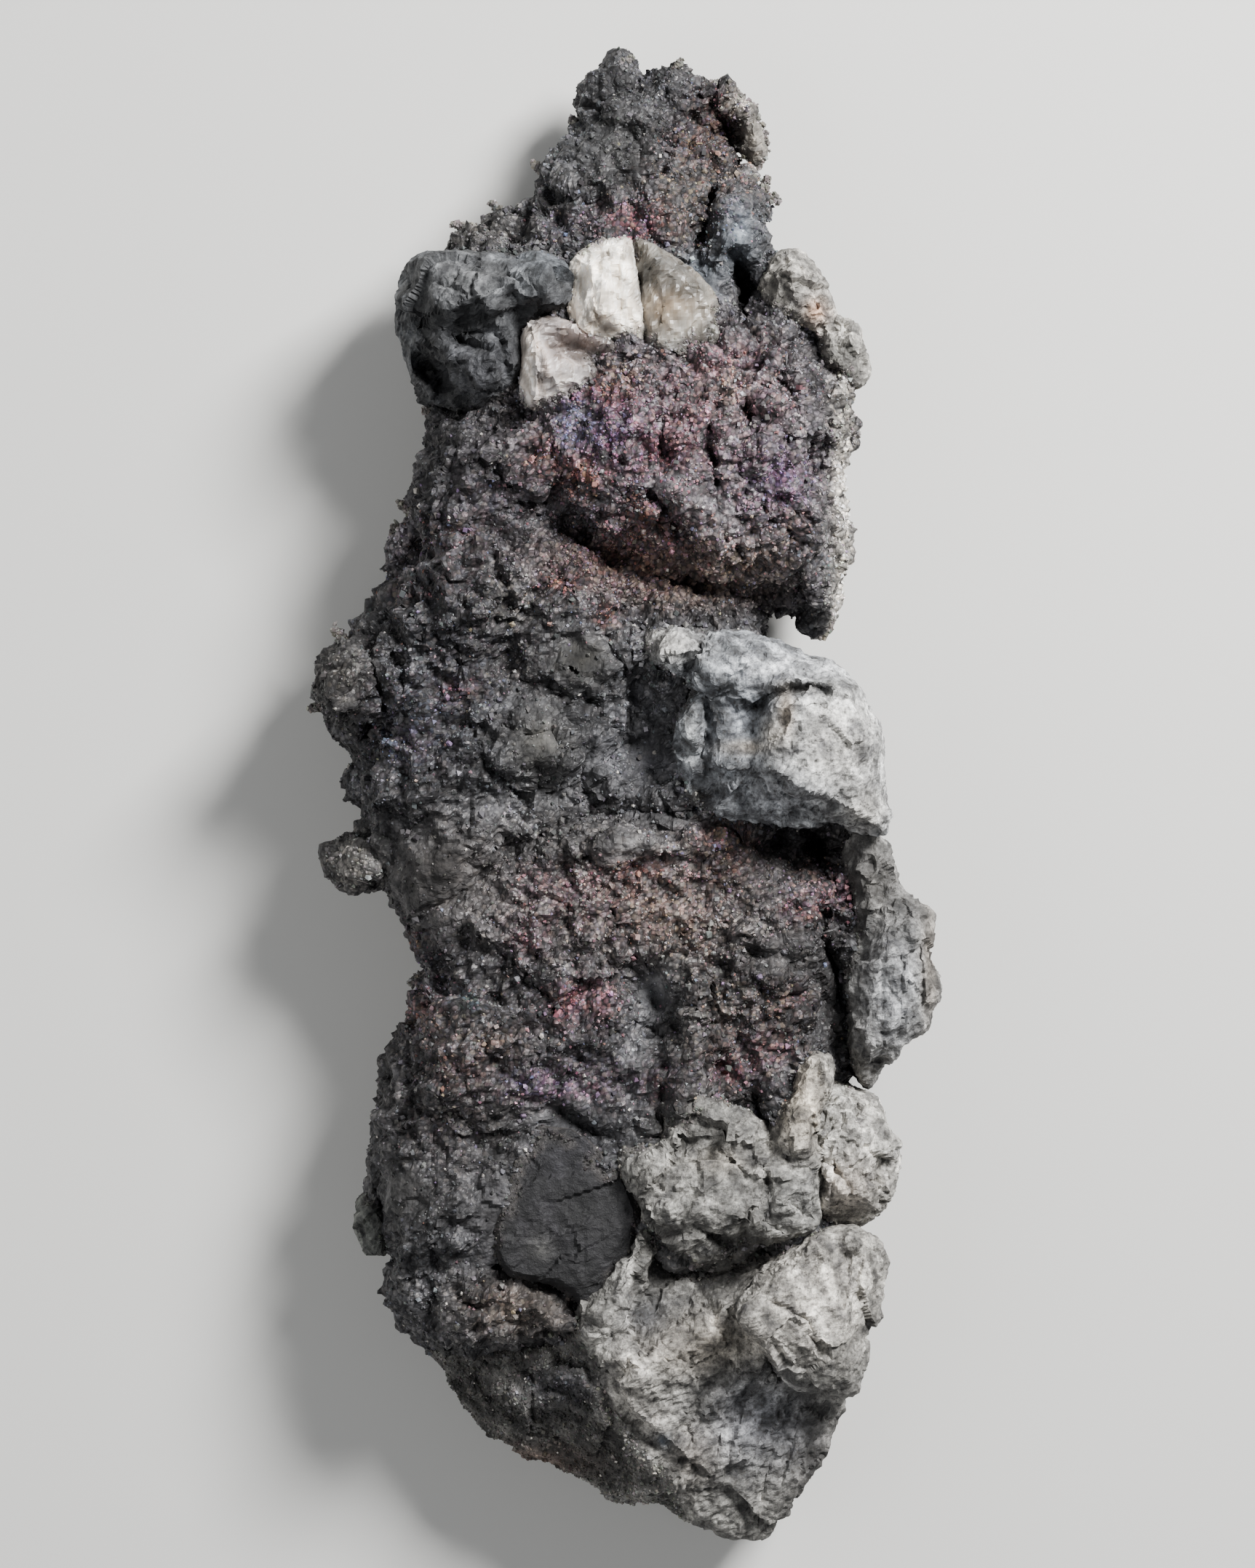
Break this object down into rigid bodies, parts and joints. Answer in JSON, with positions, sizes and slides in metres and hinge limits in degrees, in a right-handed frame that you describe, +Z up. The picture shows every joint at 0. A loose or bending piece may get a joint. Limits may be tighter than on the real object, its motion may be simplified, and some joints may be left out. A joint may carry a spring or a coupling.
{
  "type": "native silver specimen",
  "caption": "Long slab of crumbly native silver with embedded host rock and calcite, laid on its back on a small flat spot.",
  "frame": {"origin": "on the surface it rests on, under the middle of its outline", "axes": "+Y along the length towards the ragged top crest, +X to the right as seen from above, +Z up from the surface it lies on"},
  "size_m": [0.1046, 0.2506, 0.049],
  "materials": {
    "native_silver": "satin",
    "blue_grey_rock": "matte",
    "dark_rock": "matte",
    "pale_rock": "matte",
    "white_calcite": "satin",
    "tan_calcite": "satin"
  },
  "bodies": {
    "root": {"silver_mass": "native_silver", "left_shoulder_rock": "blue_grey_rock", "calcite_upper": "white_calcite", "calcite_lower": "white_calcite", "calcite_cleaved": "tan_calcite", "right_shoulder_rock": "pale_rock", "middle_rock": "pale_rock", "right_edge_rock": "pale_rock", "lower_right_rock": "pale_rock", "band_rock": "pale_rock", "dark_slab_rock": "dark_rock", "base_rock": "pale_rock", "left_foot_rock": "blue_grey_rock"}
  },
  "joints": []
}
